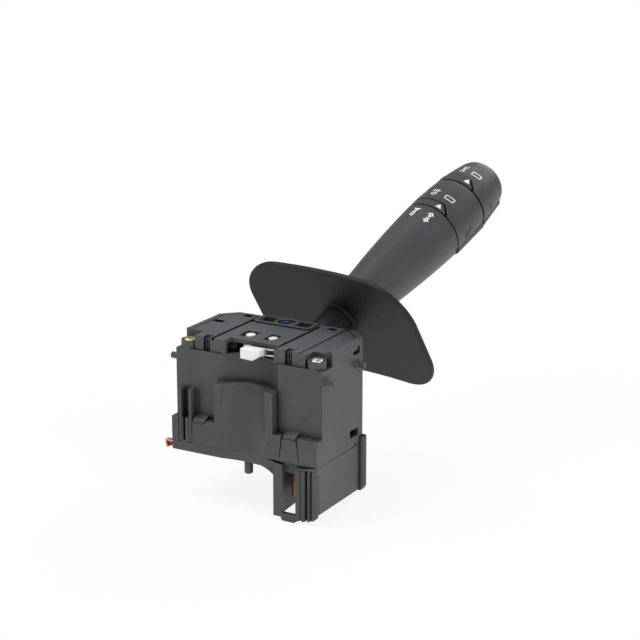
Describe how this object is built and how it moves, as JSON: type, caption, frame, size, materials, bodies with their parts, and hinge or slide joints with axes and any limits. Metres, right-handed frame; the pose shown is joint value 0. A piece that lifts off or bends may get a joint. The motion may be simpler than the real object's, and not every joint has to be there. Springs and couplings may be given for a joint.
{
  "type": "combination stalk switch",
  "caption": "Steering-column stalk switch: clip-on housing with a turning, pulling lever and rotary light and fog rings, with a push-in end for the horn.",
  "frame": {"origin": "centre of the locating peg where it leaves the underside of the base plate", "axes": "+X right along the front of the housing, +Y away from the steering column on the stalk's side, +Z along the column towards the driver"},
  "size_m": [0.0782, 0.1597, 0.1016],
  "materials": {
    "housing_plastic": "moulded glass-filled nylon, black, satin",
    "cover_plastic": "moulded nylon, black, fine texture",
    "yoke_plastic": "moulded acetal, black",
    "shield_plastic": "moulded polypropylene, charcoal, fine grain",
    "stalk_plastic": "moulded ABS, charcoal, fine grain",
    "board_plastic": "moulded lead-frame board",
    "natural_acetal": "natural acetal, smooth",
    "white_acetal": "white acetal, smooth",
    "blue_plastic": "blue acetal, smooth",
    "copper": "bare copper alloy strip",
    "yellow_zinc": "zinc plated, yellow passivated",
    "bright_zinc": "zinc plated, bright"
  },
  "bodies": {
    "housing": {"case": "housing_plastic", "saddle_cover": "housing_plastic", "connector_base": "housing_plastic", "top_cover": "cover_plastic", "cover_screw_left": "yellow_zinc", "cover_screw_right": "bright_zinc", "terminal_blades": "copper", "side_contact": "copper", "contact_board": "board_plastic", "detent_track": "natural_acetal"},
    "turn_carrier": {"turn_yoke": "yoke_plastic", "upper_trunnion": "blue_plastic", "lower_trunnion": "bright_zinc", "tilt_pin": "bright_zinc", "detent_plunger": "natural_acetal", "contact_wiper": "copper"},
    "cancel_carriage": {"cancel_slider": "white_acetal"},
    "cancel_pawl": {"cancel_finger": "white_acetal"},
    "lever": {"lever_root": "yoke_plastic", "shield_plate": "shield_plastic", "stalk_sleeve": "stalk_plastic", "core_tube": "yoke_plastic", "index_collar_fog": "stalk_plastic"},
    "fog_switch": {"fog_ring": "stalk_plastic"},
    "horn_push": {"push_rod": "yoke_plastic", "index_collar_light": "stalk_plastic"},
    "light_switch": {"light_knob": "stalk_plastic"}
  },
  "joints": [
    {"name": "indicator_turn", "type": "hinge", "parent": "housing", "child": "turn_carrier", "pos_m": [-0.0024, 0.0302, 0.0243], "axis": [0, 0, 1], "range_deg": [-12, 12]},
    {"name": "flash_pull", "type": "hinge", "parent": "turn_carrier", "child": "lever", "pos_m": [-0.0024, 0.0302, 0.0243], "axis": [1, 0, 0], "range_deg": [0, 7], "stiffness_Nm_per_rad": 1.5, "springref_deg": -2.86},
    {"name": "fog_turn", "type": "hinge", "parent": "lever", "child": "fog_switch", "pos_m": [-0.0024, 0.0302, 0.0243], "axis": [0.145, 0.9158, 0.3746], "range_deg": [0, 60]},
    {"name": "horn_press", "type": "slide", "parent": "lever", "child": "horn_push", "axis": [-0.145, -0.9158, -0.3746], "range_m": [0, 0.0008], "stiffness_N_per_m": 2500, "springref_m": -0.0002},
    {"name": "light_turn", "type": "hinge", "parent": "horn_push", "child": "light_switch", "pos_m": [-0.0024, 0.0302, 0.0243], "axis": [0.145, 0.9158, 0.3746], "range_deg": [0, 60]},
    {"name": "cancel_slide", "type": "slide", "parent": "housing", "child": "cancel_carriage", "axis": [0, -1, 0], "range_m": [0, 0.0024], "stiffness_N_per_m": 150, "springref_m": -0.0005},
    {"name": "cancel_swing", "type": "hinge", "parent": "cancel_carriage", "child": "cancel_pawl", "pos_m": [0.0028, 0.0126, 0.0392], "axis": [0, 0, 1], "range_deg": [-6, 6], "stiffness_Nm_per_rad": 0.02}
  ]
}
